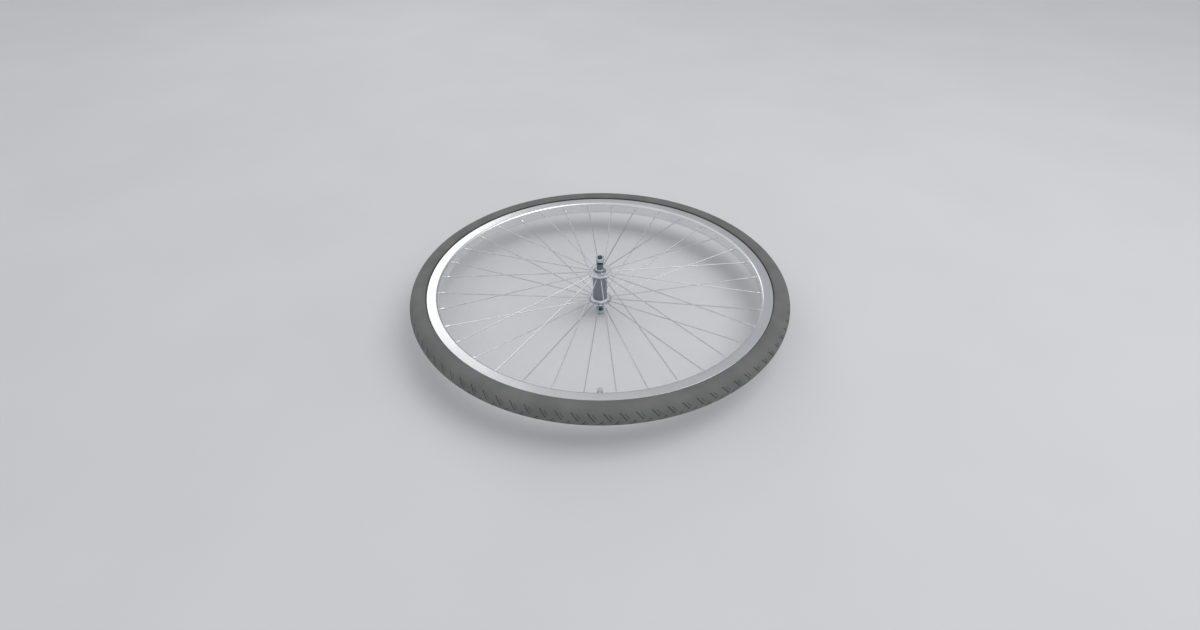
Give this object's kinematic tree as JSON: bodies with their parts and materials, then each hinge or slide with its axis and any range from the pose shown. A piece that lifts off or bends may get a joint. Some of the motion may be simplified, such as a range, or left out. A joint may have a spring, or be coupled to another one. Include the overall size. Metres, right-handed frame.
{
  "type": "bicycle wheel",
  "caption": "Front bicycle wheel: treaded tyre on a polished double-wall rim, radially laced to a flanged hub that turns on a bolted axle.",
  "frame": {"origin": "centre of the wheel, where the axle's axis crosses the rim's middle plane", "axes": "+Z along the axle, X and Y in the wheel's plane, the valve towards -Y"},
  "size_m": [0.696, 0.696, 0.1286],
  "materials": {
    "tyre_rubber": "smooth grey sidewall, worn matt tread",
    "tube_rubber": "matt",
    "rim_tape": "woven",
    "rim_metal": "polished",
    "hub_metal": "turned and polished",
    "spoke_steel": "drawn stainless wire",
    "nipple_metal": "nickel plated",
    "axle_steel": "rolled thread, lightly oiled",
    "bearing_steel": "ground",
    "ball_steel": "mirror",
    "zinc_steel": "zinc plated",
    "valve_brass": "satin",
    "cap_plastic": "moulded"
  },
  "bodies": {
    "axle": {"axle": "axle_steel", "cone_top": "bearing_steel", "cone_bottom": "bearing_steel", "spacer_top": "zinc_steel", "spacer_bottom": "zinc_steel", "locknut_top": "zinc_steel", "locknut_bottom": "zinc_steel", "nut_washers": "zinc_steel", "axle_nuts": "zinc_steel"},
    "ball_ring_top": {"balls_top": "ball_steel"},
    "ball_ring_bottom": {"balls_bottom": "ball_steel"},
    "wheel": {"hub_shell": "hub_metal", "cup_top": "bearing_steel", "cup_bottom": "bearing_steel", "dust_cap_top": "hub_metal", "dust_cap_bottom": "hub_metal", "rim": "rim_metal", "rim_tape": "rim_tape", "inner_tube": "tube_rubber", "tyre": "tyre_rubber", "valve_stem": "valve_brass", "valve_nut": "zinc_steel", "valve_cap": "cap_plastic", "nipples": "nipple_metal", "spoke_01": "spoke_steel", "spoke_02": "spoke_steel", "spoke_03": "spoke_steel", "spoke_04": "spoke_steel", "spoke_05": "spoke_steel", "spoke_06": "spoke_steel", "spoke_07": "spoke_steel", "spoke_08": "spoke_steel", "spoke_09": "spoke_steel", "spoke_10": "spoke_steel", "spoke_11": "spoke_steel", "spoke_12": "spoke_steel", "spoke_13": "spoke_steel", "spoke_14": "spoke_steel", "spoke_15": "spoke_steel", "spoke_16": "spoke_steel", "spoke_17": "spoke_steel", "spoke_18": "spoke_steel", "spoke_19": "spoke_steel", "spoke_20": "spoke_steel", "spoke_21": "spoke_steel", "spoke_22": "spoke_steel", "spoke_23": "spoke_steel", "spoke_24": "spoke_steel", "spoke_25": "spoke_steel", "spoke_26": "spoke_steel", "spoke_27": "spoke_steel", "spoke_28": "spoke_steel", "spoke_29": "spoke_steel", "spoke_30": "spoke_steel", "spoke_31": "spoke_steel", "spoke_32": "spoke_steel", "spoke_33": "spoke_steel", "spoke_34": "spoke_steel", "spoke_35": "spoke_steel", "spoke_36": "spoke_steel"}
  },
  "joints": [
    {"name": "wheel_spin", "type": "hinge", "parent": "axle", "child": "wheel", "pos_m": [0, 0, 0], "axis": [0, 0, 1], "continuous": true},
    {"name": "ball_orbit_top", "type": "hinge", "parent": "axle", "child": "ball_ring_top", "pos_m": [0, 0, 0], "axis": [0, 0, 1], "continuous": true},
    {"name": "ball_orbit_bottom", "type": "hinge", "parent": "axle", "child": "ball_ring_bottom", "pos_m": [0, 0, 0], "axis": [0, 0, 1], "continuous": true}
  ],
  "couplings": [
    {"joint": "ball_orbit_top", "follows": "wheel_spin", "ratio": 0.5978},
    {"joint": "ball_orbit_bottom", "follows": "wheel_spin", "ratio": 0.5978}
  ]
}
